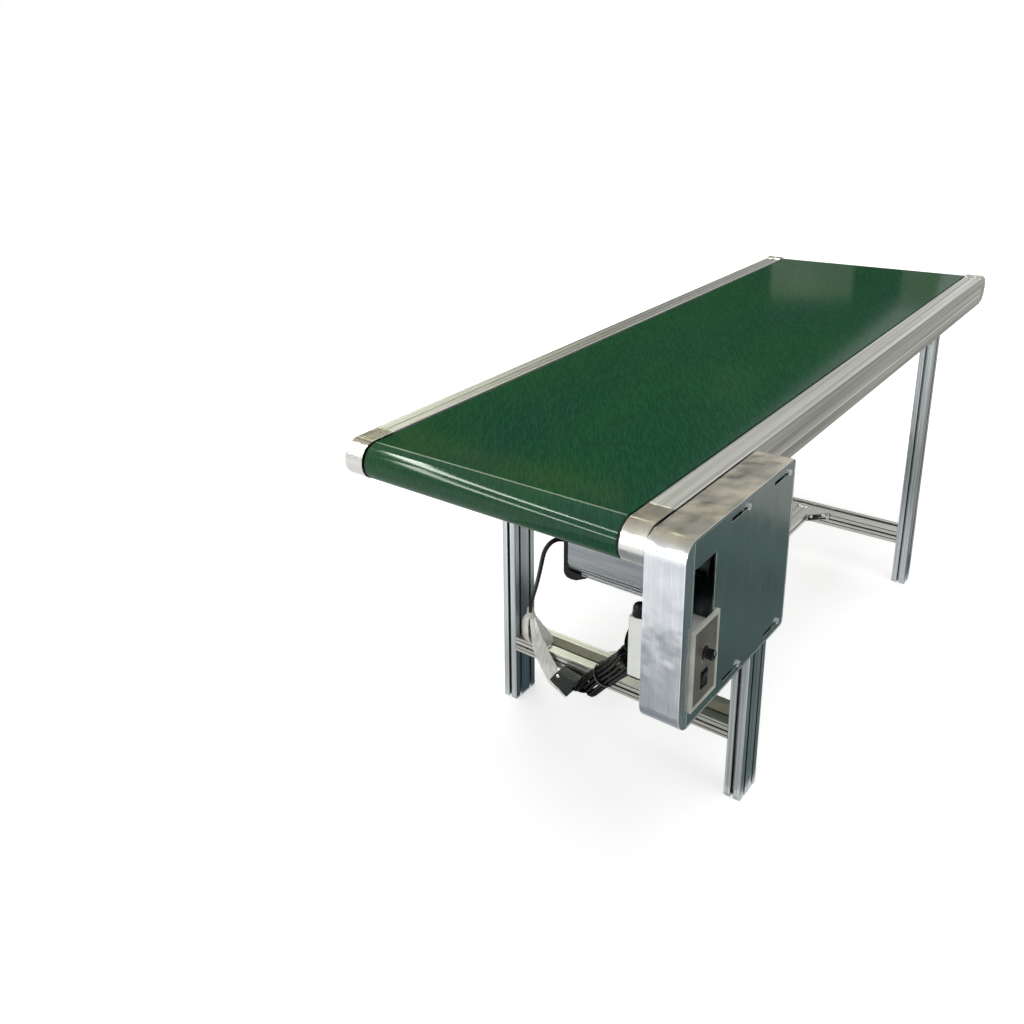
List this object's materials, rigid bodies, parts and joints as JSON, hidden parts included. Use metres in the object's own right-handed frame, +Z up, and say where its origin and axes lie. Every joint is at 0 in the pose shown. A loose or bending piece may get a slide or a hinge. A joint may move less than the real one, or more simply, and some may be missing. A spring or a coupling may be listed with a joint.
{
  "type": "belt conveyor",
  "caption": "Table-height belt conveyor on fixed aluminium profile legs, with a green belt between side rails and a boxed side drive with speed controller and gear motor.",
  "frame": {"origin": "centre of the machine's floor area, on the floor", "axes": "+X along the belt from the drive end to the tail end, +Y to the side away from the drive housing, +Z up"},
  "size_m": [1.847, 0.651, 0.7525],
  "materials": {
    "extrusion": "satin anodised",
    "brushed_cap": "brushed",
    "belt_green": "fine woven texture, semi-gloss",
    "steel_sheet": "plain",
    "steel_turned": "turned",
    "alu_pulley": "machined",
    "black_rubber": "matt",
    "cast_bracket": "cast, satin",
    "stainless_sheet": "brushed, slightly dented",
    "stainless_plate": "smooth, reflective",
    "zinc_screw": "bright zinc",
    "bezel_plastic": "satin",
    "light_plastic": "satin",
    "black_plastic": "semi-gloss",
    "motor_alloy": "painted satin grey",
    "cable_black": "semi-gloss PVC",
    "sleeve_film": "thin translucent film, creased",
    "connector_dark": "satin"
  },
  "bodies": {
    "frame": {"rail_left": "extrusion", "rail_right": "extrusion", "drive_cover_left": "brushed_cap", "drive_cover_right": "brushed_cap", "tail_cover_left": "brushed_cap", "tail_cover_right": "brushed_cap", "conveyor_belt": "belt_green", "slider_bed": "steel_sheet", "bed_ribs": "steel_sheet", "timing_belt": "black_rubber", "leg_near_left": "extrusion", "leg_near_right": "extrusion", "leg_far_left": "extrusion", "leg_far_right": "extrusion", "crossbar_near": "extrusion", "crossbar_far": "extrusion", "stretcher": "extrusion", "stretcher_brackets": "cast_bracket", "leg_brackets_near": "cast_bracket", "leg_brackets_far": "cast_bracket", "housing_shell": "stainless_sheet", "housing_cover": "stainless_plate", "housing_screws": "zinc_screw", "housing_spacers": "zinc_screw", "controller_bezel": "bezel_plastic", "controller_body": "light_plastic", "controller_knob": "black_plastic", "controller_rocker": "black_plastic", "controller_gland": "black_plastic", "motor_body": "motor_alloy", "motor_cap": "black_plastic", "gearbox": "motor_alloy", "motor_lead": "cable_black", "motor_lead_gland": "black_plastic", "controller_lead_gland": "black_plastic", "controller_lead": "cable_black", "lead_sleeve": "sleeve_film", "lead_connector": "connector_dark", "lead_hank": "cable_black", "lead_tie": "black_plastic"},
    "drive_roller_body": {"drive_roller": "steel_turned", "drive_pulley": "alu_pulley"},
    "tail_roller_body": {"tail_roller": "steel_turned"},
    "motor_shaft_body": {"motor_pulley": "alu_pulley"}
  },
  "joints": [
    {"name": "drive_roller_spin", "type": "hinge", "parent": "frame", "child": "drive_roller_body", "pos_m": [-0.8815, 0.0405, 0.7147], "axis": [0, 1, 0], "continuous": true},
    {"name": "tail_roller_spin", "type": "hinge", "parent": "frame", "child": "tail_roller_body", "pos_m": [0.8885, 0.0405, 0.7147], "axis": [0, 1, 0], "continuous": true},
    {"name": "motor_shaft_spin", "type": "hinge", "parent": "frame", "child": "motor_shaft_body", "pos_m": [-0.7715, -0.2695, 0.6464], "axis": [0, 1, 0], "continuous": true}
  ],
  "couplings": [
    {"joint": "tail_roller_spin", "follows": "drive_roller_spin", "ratio": 1},
    {"joint": "motor_shaft_spin", "follows": "drive_roller_spin", "ratio": 1.3333}
  ]
}
